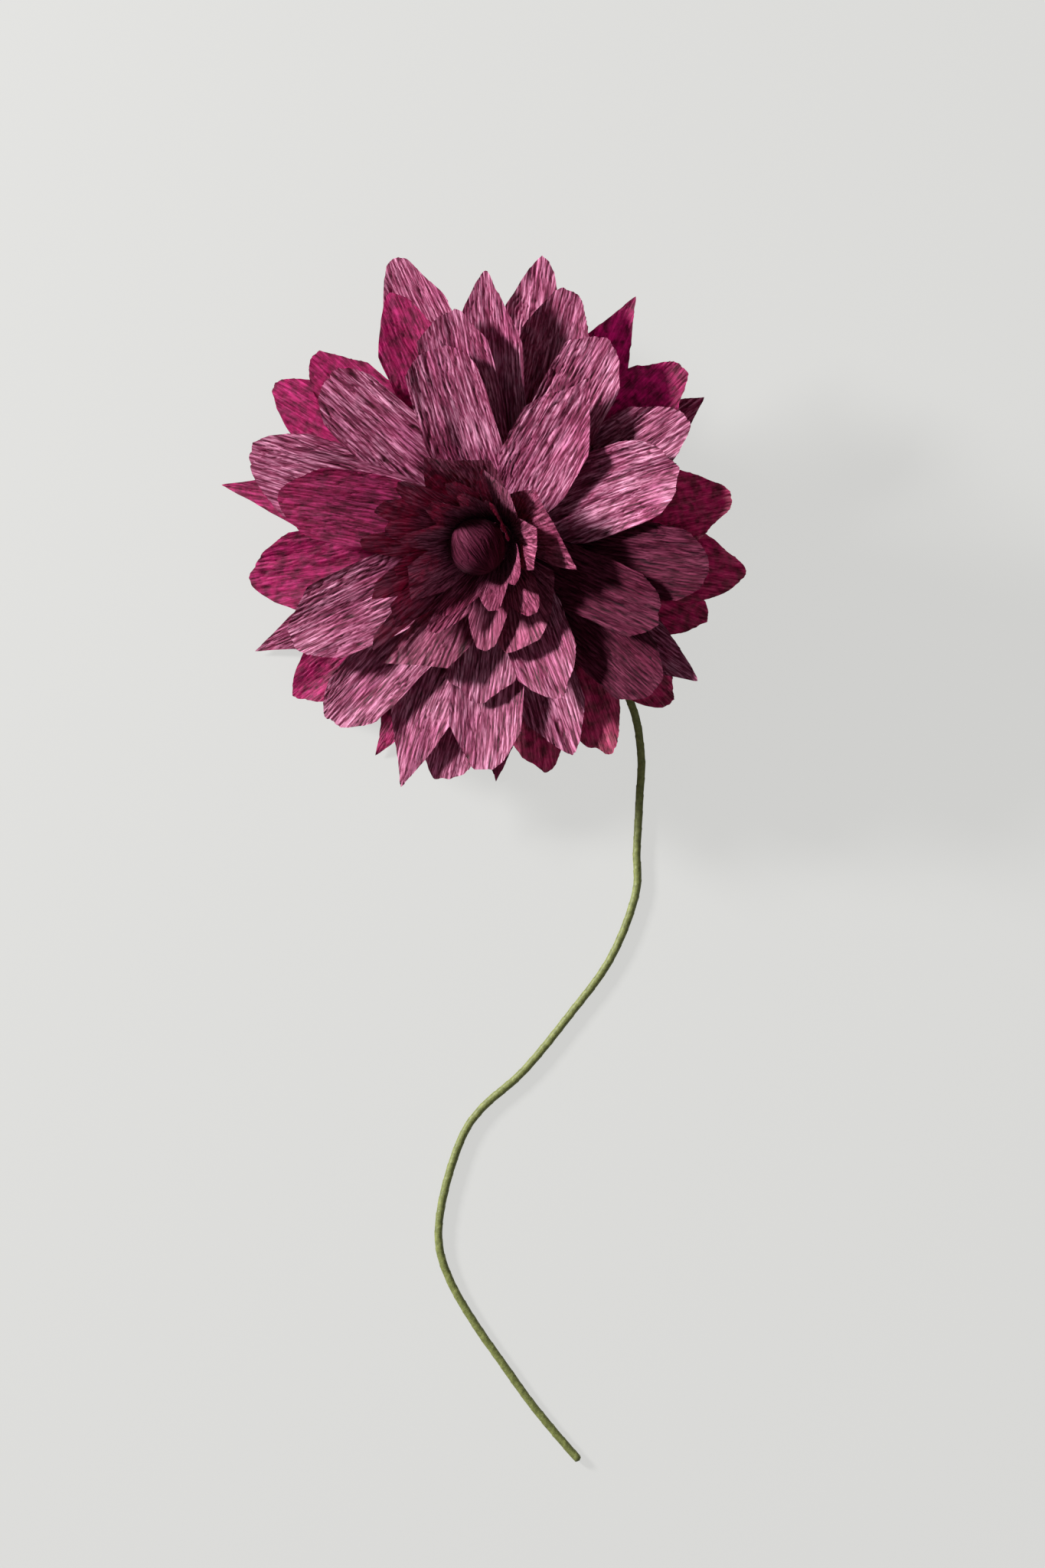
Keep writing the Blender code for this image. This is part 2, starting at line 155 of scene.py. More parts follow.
# Fineness of the sheets, in cells
PETAL_COLUMNS = 76
PETAL_CELL = 1.0
STRIP_CELLS = (60, 56)
BUD_CELLS = (240, 120)

# Size of the noise's table, which repeats after so many cells
NOISE_CELLS = 64

# Depth of the creases, mm
PETAL_CREASE = 0.44
STRIP_CREASE = 0.32
BUD_CREASE = 0.34

# Sheet maps: 100 mm for each unit, so that a look's noise scale is its repeats in 100 mm
MAP_UNIT = 100.0
# Share of the crease height in the colour, which paints shade in the creases and a highlight on the
# crests
RELIEF_SHARE = 0.20

# Stem: the tape, its spiral and its rounded end, mm
TAPE_RADIUS = 1.5
TAPE_PITCH = 6.2
TAPE_START = -8.8
TAPE_END_ROUND = 1.3
# Once round the tape, in map units
TAPE_AROUND = 0.0942
STEM_SIDES = 24
STEM_STEP = 0.5
# The bend under the head: where it starts on the axis, how far its ends reach straight on, and
# the step ahead that gives the way's direction where the bend meets it
BEND_START = -16.5
BEND_PULL = (7.4, 22.0)
BEND_AHEAD = 10.0
BEND_STEPS = 140
STRAIGHT_STEPS = 14
# The stem's way over the table as seen from above, mm from the head's middle
STEM_WAY = (
    (27, -33), (36, -47), (42, -59), (44.5, -71), (46, -78), (46, -86), (45.5, -94), (44.8, -102),
    (44.5, -113), (44.3, -120), (44, -129), (41.5, -140), (35, -152), (25.5, -165.5), (19.3, -173.5),
    (10.7, -184), (3.6, -192.5), (-4.4, -199.5), (-11, -205.5), (-14.6, -211), (-18.7, -217),
    (-22.3, -227), (-25, -237), (-26.7, -245.5), (-26.7, -254), (-25, -261), (-22.3, -268.5),
    (-19, -276), (-13.2, -284), (-8.3, -291), (-5.2, -295.5), (1.4, -304), (7.4, -313), (13.8, -320.5),
    (19.5, -327.5), (24.2, -332.8),
)

# Crepe looks (linear colours): painted shade in the creases, slopes, and a painted highlight on the
# crests, and the light passed through with its share; mottled paints light passed through the paper as
# patches in the colour, and gloss is the crests' shine
CREPE_LOOKS = {
    "plum_crepe": dict(
        dark=(0.04, 0.001, 0.009), middle=(0.215, 0.036, 0.089), light=(0.74, 0.33, 0.49),
        through=(0.45, 0.004, 0.10), amount=0.10,
    ),
    # Painted shade: a much darker, duller copy of the plum crepe, for three petals that lie in the cup's
    # cast shadow
    "painted_shade_crepe": dict(
        dark=(0.014, 0.001, 0.005), middle=(0.058, 0.007, 0.020), light=(0.15, 0.028, 0.06),
        through=(0.30, 0.002, 0.06), amount=0.04, gloss=0.04,
    ),
    # Painted light: a lighter copy of the glow crepe, for petals in the head's shade, standing in for
    # light that reaches them
    "painted_light_crepe": dict(
        dark=(0.09, 0.008, 0.02), middle=(0.38, 0.06, 0.11), light=(0.72, 0.17, 0.27),
        through=(0.90, 0.01, 0.20), amount=0.30, mottled=True,
    ),
    # Painted light: magenta mottled colour that stands in for light passed through the paper from behind,
    # on top of its real pass-through
    "glow_crepe": dict(
        dark=(0.07, 0.002, 0.014), middle=(0.25, 0.020, 0.073), light=(0.50, 0.055, 0.185),
        through=(0.74, 0.003, 0.20), amount=0.31, mottled=True,
    ),
    "cup_crepe": dict(
        dark=(0.04, 0.001, 0.009), middle=(0.168, 0.026, 0.064), light=(0.52, 0.16, 0.27),
        through=(0.29, 0.002, 0.032), amount=0.15,
    ),
    # Painted shade: the bud's cover is a much darker, duller crepe for the shade it lies in, deep in the
    # cup
    "bud_painted_shade_crepe": dict(
        dark=(0.018, 0.001, 0.005), middle=(0.058, 0.007, 0.020), light=(0.12, 0.024, 0.05),
        through=(0.2, 0.01, 0.03), amount=0.03, rough=0.8, gloss=0.05,
    ),
}
# Green tape: its two tones, on the stem and on the wrap under the head
TAPE_DARK = (0.083, 0.095, 0.022)
TAPE_LIGHT = (0.195, 0.215, 0.062)

# Looks of the solids that stay: node, dark and light tone, noise scale in each metre, roughness
SOLID_LOOKS = {
    "rolled_crepe": ("core_roll", (0.03, 0.002, 0.008), (0.17, 0.03, 0.07), (900, 900, 110), 0.8),
    "bound_tape": ("calyx_wrap", TAPE_DARK, TAPE_LIGHT, (260, 260, 900), 0.6),
    "foam": ("bud_ball", (0.72, 0.72, 0.70), (0.82, 0.82, 0.80), (1500, 1500, 1500), 0.7),
    "wire": ("stem_wire", (0.30, 0.30, 0.29), (0.40, 0.40, 0.39), (3000, 3000, 300), 0.4),
}

# Floor: its lit colour, and the tone and share that the camera sees of it whatever the light
FLOOR_LIT = (0.66, 0.655, 0.64)
FLOOR_SEEN = (0.70, 0.70, 0.685)
FLOOR_SHARE = 0.87
FLOOR_HALF = 6.0
FLOOR_HEIGHT = -0.0005

# Studio light: world colour and strength; each lamp's place and size in metres, and watts
WORLD_COLOR = (1.0, 0.99, 0.975)
WORLD_STRENGTH = 0.185
LAMPS = {
    "key": ((-1.33, 0.67, 0.74), 0.28, 66),
    "fill": ((0.5, -0.4, 1.6), 1.2, 3),
}
LAMP_TARGET = (0.0, 0.10, 0.03)

# Camera, mm
LENS = 90
SENSOR = 36


def mix(pair, share):
    return pair[0] + (pair[1] - pair[0]) * share


# Noise over a sheet's own millimetres

def lattice(x, y, seed):
    """Smooth value noise from -1 to 1."""
    table = np.random.default_rng(seed).uniform(-1, 1, (NOISE_CELLS, NOISE_CELLS))
    xi, yi = np.floor(x).astype(int), np.floor(y).astype(int)
    fx, fy = x - xi, y - yi
    fx, fy = fx * fx * (3 - 2 * fx), fy * fy * (3 - 2 * fy)
    left, right = xi % NOISE_CELLS, (xi + 1) % NOISE_CELLS
    low, high = yi % NOISE_CELLS, (yi + 1) % NOISE_CELLS
    a = table[left, low] * (1 - fx) + table[right, low] * fx
    b = table[left, high] * (1 - fx) + table[right, high] * fx
    return a * (1 - fy) + b * fy


def crepe(x, y, seed):
    """Height of the crepe's creases, which run along y and fade in and out, about -1 to 1."""
    warp = 1.6 * lattice(x / 9, y / 17, seed + 1) + 1.0 * lattice(x / 3.2, y / 7, seed + 2)
    total = 0
    for pitch, share, shift in ((1.8, 0.60, 3), (1.15, 0.40, 7)):
        drift = warp + 0.8 * pitch * lattice(x / (pitch * 1.4), y / (pitch * 3.2), seed + shift)
        fold = np.abs(np.sin(math.pi * (x + drift) / pitch))
        depth = 0.62 + 0.42 * lattice(x / (pitch * 1.3), y / (pitch * 6), seed + shift + 1)
        total = total + share * (1 - depth * 1.9 * np.exp(-fold / 0.24))
    return total * 1.5 - 0.5


# Meshes

def make_object(name, verts, faces, uv, node, look, relief=None):
    """One sheet as an object that rides the root and replaces its solid."""
    mesh = bpy.data.meshes.new(name)
    mesh.from_pydata(verts.tolist(), [], faces.tolist())
    layer = mesh.uv_layers.new(name="Sheet")
    loops = np.empty(len(mesh.loops), dtype=np.int32)
    mesh.loops.foreach_get("vertex_index", loops)
    layer.data.foreach_set("uv", uv[loops].astype(np.float32).ravel())
    if relief is not None:
        # Crease height, which the crepe looks use to paint shade in the creases and a highlight on the
        # crests
        height = mesh.uv_layers.new(name="Relief")
        pair = np.stack([relief.ravel()[loops] * RELIEF_SHARE, np.full(len(loops), 0.5)], 1)
        height.data.foreach_set("uv", pair.astype(np.float32).ravel())
    mesh.polygons.foreach_set("use_smooth", np.ones(len(mesh.polygons), dtype=bool))
    mesh.materials.append(bpy.data.materials[look])
    obj = bpy.data.objects.new(name, mesh)
    bpy.context.scene.collection.objects.link(obj)
    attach(obj, "root")
    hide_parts(node)


def grid_faces(rows, cols):
    """Quads of a grid of points, row after row."""
    i, j = np.meshgrid(np.arange(cols), np.arange(rows))
    a = (j * (cols + 1) + i).ravel()
    return np.stack([a, a + 1, a + cols + 2, a + cols + 1], 1)


def from_head(points):
    """Head's own millimetres to the frame's metres."""
    return (points @ TURN.T + np.array(HEAD)) * MM


# Large petals

def row_height(row, radius):
    """Height along the axis of a petal row's surface at this distance from the axis."""
    share = row / (ROWS - 1)
    out = radius - PETAL_FOOT
    rise = mix(ROW_RISE, share) * (1 - np.exp(-out / RISE_REACH))
    return mix(ROW_BASE, share) + rise + mix(ROW_SLOPE, share) * out


def aim(x, y, wanted):
    """Turn round the axis and distance from it that put a tip of this height where it is seen."""
    z = 0.0
    for _ in range(20):
        nearer = 1 - z / VIEW_HEIGHT
        place = Vector((VIEW_X + (x - VIEW_X) * nearer, VIEW_Y + (y - VIEW_Y) * nearer, z))
        height = place.dot(AXIS)
        out = place - AXIS * height
        z += (wanted(out.length) - height) / AXIS.z
    flat = AXIS_TURN.inverted() @ out
    return math.atan2(flat.y, flat.x), out.length


def petal_line(row, length, share, more):
    """Middle line of a petal, which leaves the core along +X."""
    radius = PETAL_FOOT + (length - PETAL_FOOT) * share
    bend = more.get("lift", 0.0) * share ** 2
    sway = more.get("sway", 0.0) * 4 * share * (1 - share)
    return np.stack([radius, sway, row_height(row, radius) + bend], -1)


def petal_sheet(row, length, width, tip, more, share, across, seed):
    """Points, normals and sheet millimetres of a petal, before its turn round the axis."""
    cut, power = TIPS[tip]
    snip = 1.5 * lattice(across * 3, share * 0 + seed % 7, seed + 11)
    snip = snip + 0.45 * lattice(across * 14, share * 0 + 5.5, seed + 13)
    share = share * (1 - cut * np.abs(across) ** power + snip / length * share ** 6)
    here = petal_line(row, length, share, more)
    ahead = petal_line(row, length, share + 0.01, more) - petal_line(row, length, share - 0.01, more)
    side = np.zeros_like(here)
    side[..., 1] = 1
    up = np.cross(ahead, side)
    up /= np.linalg.norm(up, axis=-1, keepdims=True)
    cup = math.radians(CUP) * (0.55 + 0.45 * share)
    grow = np.sin(np.minimum(share / FULL_WIDTH_AT, 1.0) * math.pi / 2) ** 0.85
    narrow = 1 - 0.16 * np.maximum(0.0, (share - 0.68) / 0.32) ** 2
    half = FOOT_WIDTH / 2 + (width - FOOT_WIDTH) / 2 * grow * narrow
    half = half * (1 + 0.03 * lattice(share * length / 9, np.sign(across) + 3, seed + 12))
    turn = cup * across
    radius = half / cup
    rise = radius * (1 - np.cos(turn))
    point = here + side * (radius * np.sin(turn))[..., None] + up * rise[..., None]
    normal = up * np.cos(turn)[..., None] - side * np.sin(turn)[..., None]
    return point, normal, across * half, share * (length - PETAL_FOOT)


def build_petal(number, spec):
    """One petal with its creases and waves, turned to its place round the core."""
    row, angle, reach, width, tip, more, look = spec
    lift = more.get("lift", 0.0)
    seen = math.radians(angle)
    x, y = reach * math.cos(seen), reach * math.sin(seen)
    turn, length = aim(x, y, lambda radius: row_height(row, radius) + lift)
    rows, cols = int((length - PETAL_FOOT) / PETAL_CELL), PETAL_COLUMNS
    seed = number * 17
    across, share = np.meshgrid(np.linspace(-1, 1, cols + 1), np.linspace(0, 1, rows + 1))
    point, normal, x, y = petal_sheet(row, length, width, tip, more, share, across, seed)
    pinch = np.clip(share * 4, 0.15, 1)
    wave = 0.8 * lattice(x / 6, y / 16, seed + 5) + 0.45 * lattice(x / 2.6, y / 19, seed + 6)
    wave = wave * np.clip(share * 2, 0, 1)
    ridge = crepe(x, y, seed)
    point = point + normal * (wave + PETAL_CREASE * ridge * pinch)[..., None]
    c, s = math.cos(turn), math.sin(turn)
    point = point.reshape(-1, 3) @ np.array([[c, s, 0], [-s, c, 0], [0, 0, 1]])
    uv = np.stack([x.ravel() / MAP_UNIT + number * 1.7, y.ravel() / MAP_UNIT + number * 0.9], 1)
    make_object(f"crepe_petal_{number:02d}", from_head(point), grid_faces(rows, cols), uv,
                f"petal_{number:02d}", f"{look}_crepe", ridge)


# Fringed strips

def strip_teeth(strip):
    """Angle, distance and height of each corner, and each tooth's angles at the split and the end."""
    seam, teeth = strip[0], strip[3]
    corners, ends = [], []
    for tooth in teeth:
        for x, y, height in zip(tooth[::3], tooth[1::3], tooth[2::3]):
            turn, radius = aim(x, y, lambda r: height)
            corners.append((seam + (math.degrees(turn) - seam) % 360, radius, height))
        ends.append((corners[-(len(tooth) // 3)][0], corners[-1][0]))
    parts = [(a[1] + b[0]) / 2 for a, b in zip(ends, ends[1:])]
    sides = [seam + SEAM_GAP] + parts + [seam + 360 - SEAM_GAP]
    spans = []
    for (first, last), left, right in zip(ends, sides, sides[1:]):
        if first == last:
            first, last = mix((first, left), TIP_SHARE), mix((last, right), TIP_SHARE)
        spans.append(((left, right), (first, last)))
    return np.array(corners), spans


def end_at(corners, angle):
    """Distance and height of the strip's end at each angle, straight from corner to corner."""
    angle = np.clip(angle, corners[0, 0], corners[-1, 0])
    k = np.clip(np.searchsorted(corners[:, 0], angle) - 1, 0, len(corners) - 2)
    first, last = corners[k], corners[k + 1]
    ahead = first[..., 1] * np.sin(np.radians(angle - first[..., 0]))
    across = ahead + last[..., 1] * np.sin(np.radians(last[..., 0] - angle))
    radius = first[..., 1] * last[..., 1] * np.sin(np.radians(last[..., 0] - first[..., 0])) / across
    return radius, first[..., 2] + (last[..., 2] - first[..., 2]) * ahead / across


def build_strip(number, strip):
    """A sheet cut into teeth down to the split, each with its own slant and curl, round the core."""
    foot, flare = strip[1:3]
    cols, rows = STRIP_CELLS
    seed = number * 31
    corners, spans = strip_teeth(strip)
    points, faces, uvs, reliefs = [], [], [], []
    for tooth, (low, top) in enumerate(spans):
        along, up = np.meshgrid(np.linspace(0, 1, cols + 1), np.linspace(0, 1, rows + 1))
        share = np.maximum(0, (up - STRIP_SPLIT) / (1 - STRIP_SPLIT))
        whim = np.random.default_rng(number * 100 + tooth).uniform(-1, 1, 4)
        angle = mix((mix(low, along), mix(top, along)), share ** (1 + 0.12 * whim[0]))
        radius, height = end_at(corners, angle)
        flat = np.radians(angle)
        up = up * (1 + 0.05 * whim[1] * share * (along - 0.5))
        x = flat * STRIP_RADIUS
        y = up * np.hypot(radius - STRIP_FOOT, height - foot)
        bow = flare * 4 * up * (1 - up)
        rise = np.arctan2(height - foot, radius - STRIP_FOOT)
        pleat = 0.9 * lattice(flat * 3.4, up * 1.2 + 3, seed + 9) * np.clip(up * 2 - 0.3, 0, 1)
        relief = crepe(x, y, seed)
        ridge = STRIP_CREASE * relief * np.clip(up * 5, 0.1, 1)
        curl = 1.6 * whim[2] * share ** 2 + 0.9 * whim[3] * share * (1 - np.abs(along * 2 - 1))
        ridge = ridge + np.minimum(curl, 1.0)
        radius = STRIP_FOOT + (radius - STRIP_FOOT) * up + bow - (ridge + pleat * 0.6) * np.sin(rise)
        height = foot + (height - foot) * up - bow + (ridge + pleat * 0.6) * np.cos(rise)
        point = np.stack([radius * np.cos(flat), radius * np.sin(flat), height], -1).reshape(-1, 3)
        faces.append(grid_faces(rows, cols) + sum(len(p) for p in points))
        points.append(point)
        reliefs.append(relief.ravel() + 0.35 * whim[1])
        uvs.append(np.stack([x.ravel() / MAP_UNIT + number, y.ravel() / MAP_UNIT], 1))
    make_object(f"crepe_fringe_{number}", from_head(np.concatenate(points)), np.concatenate(faces),
                np.concatenate(uvs), f"inner_strip_{number}", "cup_crepe",
                np.concatenate(reliefs))


# Bud

def build_bud():
    """Crepe stretched over the ball, its creases running one way."""
    sides, rings = BUD_CELLS
    turn, fall = np.meshgrid(np.linspace(0, 2 * math.pi, sides + 1),
                             np.linspace(0, math.radians(BUD_REACH), rings + 1))
    side = math.radians(BUD_GRAIN)
    away = np.sin(fall) * np.sin(turn - side)
    ahead = np.sin(fall) * np.cos(turn - side)
    x = np.arctan2(away, np.cos(fall)) * BUD_RADIUS
    y = np.arcsin(ahead) * BUD_RADIUS
    ridge = crepe(x, y, 501)
    radius = BUD_RADIUS - 0.05 + BUD_CREASE * ridge * np.clip(1.1 - np.abs(ahead), 0.15, 1)
    point = np.stack([
        radius * np.sin(fall) * np.cos(turn), radius * np.sin(fall) * np.sin(turn),
        BUD_CENTRE + radius * np.cos(fall),
    ], -1).reshape(-1, 3)
    uv = np.stack([x.ravel() / MAP_UNIT, y.ravel() / MAP_UNIT], 1)
    make_object("crepe_bud", from_head(point), grid_faces(rings, sides), uv, "bud_cover",
                "bud_painted_shade_crepe", ridge)


# Stem

def spline(knots, step):
    """Smooth line through the knots with a point about every step."""
    line = []
    ends = [knots[0] * 2 - knots[1]] + list(knots) + [knots[-1] * 2 - knots[-2]]
    for a, b, c, d in zip(ends, ends[1:], ends[2:], ends[3:]):
        count = max(1, round((c - b).length / step))
        for i in range(count):
            t = i / count
            line.append((b * 2 + (c - a) * t + (a * 2 - b * 5 + c * 4 - d) * t * t
                         + (b * 3 - a - c * 3 + d) * t ** 3) / 2)
    line.append(knots[-1].copy())
    return line


def stem_line():
    """Middle line of the stem: straight out of the head, round the bend, then over the table."""
    low = TAPE_RADIUS - HEAD.z
    nearer = 1 - low / VIEW_HEIGHT
    knots = [
        Vector((VIEW_X + (x - VIEW_X) * nearer, VIEW_Y + (y - VIEW_Y) * nearer, low))
        for x, y in STEM_WAY[::2] + STEM_WAY[-1:]
    ]
    way = spline(knots, STEM_STEP)
    foot = AXIS * BEND_START
    first = foot - AXIS * BEND_PULL[0]
    back = way[0] - (spline(knots, BEND_AHEAD)[1] - way[0]).normalized() * BEND_PULL[1]
    bend = []
    for i in range(BEND_STEPS):
        t = i / BEND_STEPS
        bend.append(foot * (1 - t) ** 3 + first * 3 * t * (1 - t) ** 2
                    + back * 3 * t * t * (1 - t) + way[0] * t ** 3)
    start = [
        AXIS * mix((TAPE_START, BEND_START), i / STRAIGHT_STEPS) for i in range(STRAIGHT_STEPS)
    ]
    return start + bend + way


def build_stem():
    """Tape wound round the wire, with an edge at each turn and a rounded end."""
    line = np.array(stem_line())
    gaps = np.linalg.norm(np.diff(line, axis=0), axis=1)
    run = np.concatenate([[0], np.cumsum(gaps)])
    even = np.arange(0, run[-1], STEM_STEP)
    line = np.stack([np.interp(even, run, line[:, k]) for k in range(3)], 1)
    for _ in range(6):
        line[1:-1] = (line[:-2] + 2 * line[1:-1] + line[2:]) / 4
    ahead = np.gradient(line, axis=0)
    ahead /= np.linalg.norm(ahead, axis=1, keepdims=True)
    out = np.cross(ahead[0], [0, 1, 0])
    turn = np.linspace(0, 2 * math.pi, STEM_SIDES + 1)
    verts = []
    total = even[-1]
    for i, place in enumerate(line):
        out = out - ahead[i] * (out @ ahead[i])
        out /= np.linalg.norm(out)
        side = np.cross(ahead[i], out)
        wrap = (even[i] / TAPE_PITCH - turn / (2 * math.pi)) % 1.0
        edge = 0.10 * np.exp(-wrap * 9) - 0.07 * wrap
        rough = 0.035 * lattice(turn * 2.4 + even[i] * 0.6, np.full_like(turn, even[i] * 0.9), 77)
        slow = 0.04 * lattice(np.full_like(turn, even[i] / 9), turn * 0.6, 78)
        end = math.sqrt(max(0.0, 1 - max(0.0, 1 - (total - even[i]) / TAPE_END_ROUND) ** 2))
        radius = (TAPE_RADIUS - 0.03 + edge + rough + slow) * max(end, 0.02)
        verts.append(place + np.outer(np.cos(turn) * radius, out) + np.outer(np.sin(turn) * radius, side))
    verts = np.concatenate(verts)
    uv = np.stack([
        np.tile(np.linspace(0, TAPE_AROUND, STEM_SIDES + 1), len(line)),
        np.repeat(even / MAP_UNIT, STEM_SIDES + 1),
    ], 1)
    make_object("wrapped_stem", (verts + np.array(HEAD)) * MM, grid_faces(len(line) - 1, STEM_SIDES),
                uv, "stem_tape", "green_tape")


# Materials

def new_material(name):
    """Nodes and links of a new, empty material."""
    mat = bpy.data.materials.new(name)
    mat.use_nodes = True
    mat.node_tree.nodes.clear()
    return mat.node_tree.nodes, mat.node_tree.links


def set_surface(nodes, links, shader):
    out = nodes.new("ShaderNodeOutputMaterial")
    links.new(shader, out.inputs["Surface"])


def add_node(nodes, kind, **values):
    """New node with each value set on its socket of that name, or else on the node."""
    node = nodes.new(kind)
    for key, value in values.items():
        if key in node.inputs:
            node.inputs[key].default_value = value
        else:
            setattr(node, key, value)
    return node


def ramp(nodes, links, source, stops):
    """Colour read off a ramp of (place, colour) stops."""
    node = nodes.new("ShaderNodeValToRGB")
    while len(node.color_ramp.elements) < len(stops):
        node.color_ramp.elements.new(0.5)
    for element, (place, color) in zip(node.color_ramp.elements, stops):
        element.position = place
        element.color = (*color, 1)
    links.new(source, node.inputs["Fac"])
    return node.outputs["Color"]


def multiply(nodes, links, first, second):
    """Two colours multiplied."""
    node = nodes.new("ShaderNodeMixRGB")
    node.blend_type = "MULTIPLY"
    node.inputs["Fac"].default_value = 1.0
    links.new(first, node.inputs["Color1"])
    links.new(second, node.inputs["Color2"])
    return node.outputs["Color"]


def crepe_noise(nodes, links, across, along, detail=3.0):
    """Noise on the sheet's map, with its repeats in 100 mm across and along the creases."""
    coord = nodes.new("ShaderNodeUVMap")
    coord.uv_map = "Sheet"
    scale = nodes.new("ShaderNodeMapping")
    scale.inputs["Scale"].default_value = (across, along, 1)
    links.new(coord.outputs["UV"], scale.inputs["Vector"])
    noise = add_node(nodes, "ShaderNodeTexNoise", Scale=1.0, Detail=detail, Roughness=0.6)
    links.new(scale.outputs["Vector"], noise.inputs["Vector"])
    return noise.outputs["Fac"]


def crepe_material(name, dark, middle, light, through, amount, rough=0.6, mottled=False, gloss=0.18):
    """Crepe paper: creases darkened with painted shade, crests lightened with a painted highlight and a
    satin shine, and fibre that lets light through; mottled looks also paint that light as patches in the
    colour.
    """
    nodes, links = new_material(name)
    relief = nodes.new("ShaderNodeUVMap")
    relief.uv_map = "Relief"
    crest = nodes.new("ShaderNodeSeparateXYZ")
    links.new(relief.outputs["UV"], crest.inputs["Vector"])
    tone = add_node(nodes, "ShaderNodeMath", operation="MULTIPLY_ADD")
    links.new(crepe_noise(nodes, links, 120, 7), tone.inputs[0])
    tone.inputs[1].default_value = 1.2
    links.new(crest.outputs["X"], tone.inputs[2])
    # Painted shade and highlight: the crease height darkens the creases and lightens the crests, mixed
    # with random tone
    color = ramp(nodes, links, tone.outputs["Value"], [(0.50, dark), (0.71, middle), (0.97, light)])
    fleck = crepe_noise(nodes, links, 30, 24, 7.0)
    # Mottled looks get patches that paint light passed through the paper into the colour; the others get
    # a broad random tone
    if mottled:
        patch = ramp(nodes, links, fleck, [(0.40, (0.58, 0.6, 0.58)), (0.60, (1.0, 0.75, 1.0))])
    else:
        broad = crepe_noise(nodes, links, 7, 5)
        patch = ramp(nodes, links, broad, [(0.36, (0.72, 0.42, 0.58)), (0.60, (1.0,) * 3)])
    fine = crepe_noise(nodes, links, 170, 15)
    # Painted shade: dark lines in the grooves of the fine bump
    lines = ramp(nodes, links, fine, [(0.38, (0.42, 0.32, 0.37)), (0.53, (1.0,) * 3)])
    tint = multiply(nodes, links, multiply(nodes, links, color, patch), lines)
    glow = ramp(nodes, links, fleck, [(0.40, tuple(c * 0.15 for c in through)), (0.62, through)])
    bump = add_node(nodes, "ShaderNodeBump", Strength=0.7, Distance=0.0004)
    links.new(fine, bump.inputs["Height"])
    skin = add_node(nodes, "ShaderNodeBsdfPrincipled", Roughness=rough)
    skin.inputs["Specular IOR Level"].default_value = gloss
    skin.inputs["Sheen Weight"].default_value = gloss * 0.28
    skin.inputs["Sheen Roughness"].default_value = 0.35
    skin.inputs["Sheen Tint"].default_value = (1.0, 0.78, 0.86, 1)
    links.new(tint, skin.inputs["Base Color"])
    links.new(bump.outputs["Normal"], skin.inputs["Normal"])
    pass_on = nodes.new("ShaderNodeBsdfTranslucent")
    links.new(glow, pass_on.inputs["Color"])
    blend = add_node(nodes, "ShaderNodeMixShader", Fac=amount)
    links.new(skin.outputs["BSDF"], blend.inputs[1])
    links.new(pass_on.outputs["BSDF"], blend.inputs[2])
    set_surface(nodes, links, blend.outputs["Shader"])


def tape_material():
    """Green stem tape: streaked paper with a faint waxy shine."""
    nodes, links = new_material("green_tape")
    streak = crepe_noise(nodes, links, 60, 60, 4.0)
    color = ramp(nodes, links, streak, [(0.3, TAPE_DARK), (0.7, TAPE_LIGHT)])
    bump = add_node(nodes, "ShaderNodeBump", Strength=0.4, Distance=0.0003)
    links.new(crepe_noise(nodes, links, 120, 200), bump.inputs["Height"])
    skin = add_node(nodes, "ShaderNodeBsdfPrincipled", Roughness=0.55)
    skin.inputs["Specular IOR Level"].default_value = 0.4
    links.new(color, skin.inputs["Base Color"])
    links.new(bump.outputs["Normal"], skin.inputs["Normal"])
    set_surface(nodes, links, skin.outputs["BSDF"])


def solid_material(name, dark, light, scale, rough):
    """Look of a CAD solid: two tones mixed by noise over its own place, and a fine bump."""
    nodes, links = new_material(name)
    place = nodes.new("ShaderNodeTexCoord")
    stretch = nodes.new("ShaderNodeMapping")
    stretch.inputs["Scale"].default_value = scale
    links.new(place.outputs["Object"], stretch.inputs["Vector"])
    noise = add_node(nodes, "ShaderNodeTexNoise", Scale=1.0, Detail=4.0, Roughness=0.6)
    links.new(stretch.outputs["Vector"], noise.inputs["Vector"])
    bump = add_node(nodes, "ShaderNodeBump", Strength=0.6, Distance=0.0004)
    links.new(noise.outputs["Fac"], bump.inputs["Height"])
    color = ramp(nodes, links, noise.outputs["Fac"], [(0.35, dark), (0.65, light)])
    skin = add_node(nodes, "ShaderNodeBsdfPrincipled", Roughness=rough)
    skin.inputs["Specular IOR Level"].default_value = 0.2
    links.new(color, skin.inputs["Base Color"])
    links.new(bump.outputs["Normal"], skin.inputs["Normal"])
    set_surface(nodes, links, skin.outputs["BSDF"])


def floor_material():
    """Pale floor: the camera sees mostly a fixed tone, and the rest is lit and shaded."""
    nodes, links = new_material("floor")
    lit = add_node(nodes, "ShaderNodeBsdfDiffuse", Color=(*FLOOR_LIT, 1))
    tone = add_node(nodes, "ShaderNodeEmission", Color=(*FLOOR_SEEN, 1), Strength=1.0)
    path = nodes.new("ShaderNodeLightPath")
    part = add_node(nodes, "ShaderNodeMath", operation="MULTIPLY")
    part.inputs[1].default_value = FLOOR_SHARE
    links.new(path.outputs["Is Camera Ray"], part.inputs[0])
    blend = nodes.new("ShaderNodeMixShader")
    links.new(part.outputs["Value"], blend.inputs["Fac"])
    links.new(lit.outputs["BSDF"], blend.inputs[1])
    links.new(tone.outputs["Emission"], blend.inputs[2])
    set_surface(nodes, links, blend.outputs["Shader"])


def make_materials():
    for name, look in CREPE_LOOKS.items():
        crepe_material(name, **look)
    tape_material()
    for name, (_, dark, light, scale, rough) in SOLID_LOOKS.items():
        solid_material(name, dark, light, scale, rough)
    floor_material()


# Stage

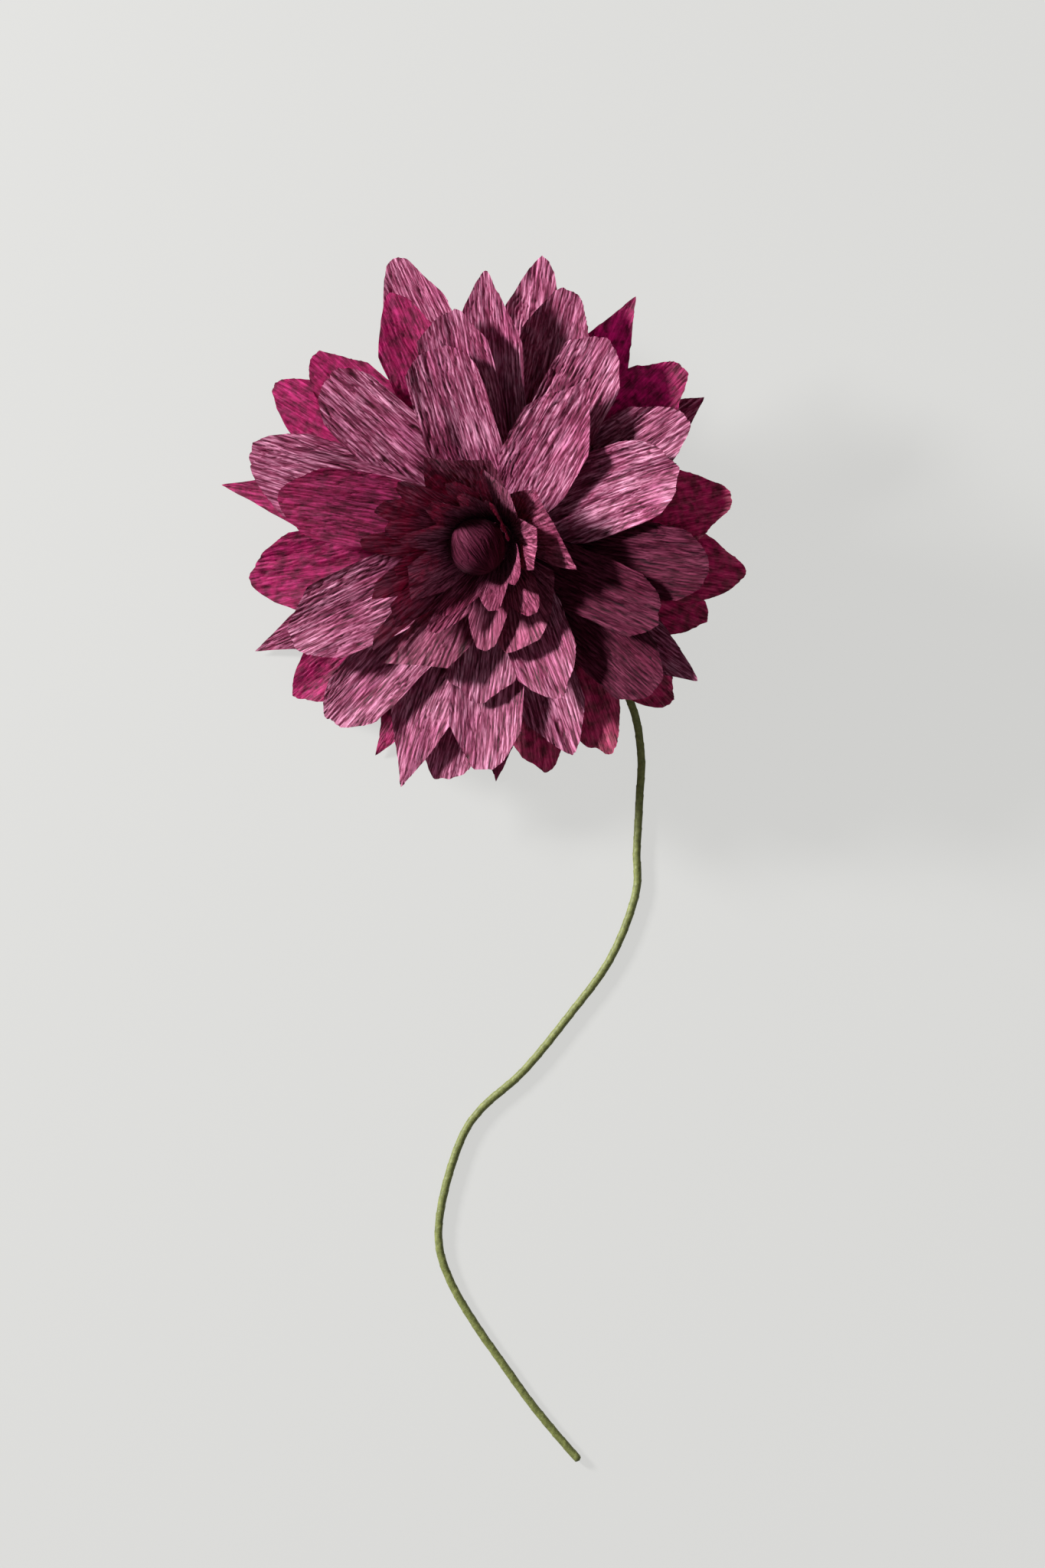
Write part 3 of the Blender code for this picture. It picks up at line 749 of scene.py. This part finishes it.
def add_lamp(name, place, size, power):
    """Square lamp that looks at the flower's head."""
    data = bpy.data.lights.new(name, "AREA")
    data.shape = "SQUARE"
    data.size = size
    data.energy = power
    lamp = bpy.data.objects.new(name, data)
    bpy.context.scene.collection.objects.link(lamp)
    lamp.location = Vector(place)
    lamp.rotation_euler = (Vector(LAMP_TARGET) - Vector(place)).to_track_quat("-Z", "Y").to_euler()


def build_floor():
    mesh = bpy.data.meshes.new("floor")
    corners = [(x * FLOOR_HALF, y * FLOOR_HALF, 0) for x, y in ((-1, -1), (1, -1), (1, 1), (-1, 1))]
    mesh.from_pydata(corners, [], [(0, 1, 2, 3)])
    mesh.materials.append(bpy.data.materials["floor"])
    floor = bpy.data.objects.new("floor", mesh)
    floor.location.z = FLOOR_HEIGHT
    bpy.context.scene.collection.objects.link(floor)


def build_light():
    world = bpy.data.worlds.new("studio")
    world.use_nodes = True
    sky = world.node_tree.nodes["Background"]
    sky.inputs["Color"].default_value = (*WORLD_COLOR, 1)
    sky.inputs["Strength"].default_value = WORLD_STRENGTH
    bpy.context.scene.world = world
    for name, (place, size, power) in LAMPS.items():
        add_lamp(name, place, size, power)


def add_camera():
    """Camera straight over the table, as the photo was taken."""
    data = bpy.data.cameras.new("camera")
    data.lens = LENS
    data.sensor_width = SENSOR
    camera = bpy.data.objects.new("camera", data)
    camera.location = ((HEAD.x + VIEW_X) * MM, (HEAD.y + VIEW_Y) * MM, (HEAD.z + VIEW_HEIGHT) * MM)
    bpy.context.scene.collection.objects.link(camera)
    bpy.context.scene.camera = camera


def dress_solids():
    """The solids that stay as they are get their look here."""
    for look, (node, *_) in SOLID_LOOKS.items():
        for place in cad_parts[node].material_slots:
            place.material = bpy.data.materials[look]


def main():
    make_materials()
    for number, spec in enumerate(PETALS, 1):
        build_petal(number, spec)
    for number, strip in enumerate(STRIPS, 1):
        build_strip(number, strip)
    build_bud()
    build_stem()
    dress_solids()
    build_floor()
    build_light()
    add_camera()
    bpy.context.scene.view_settings.view_transform = "Standard"


main()
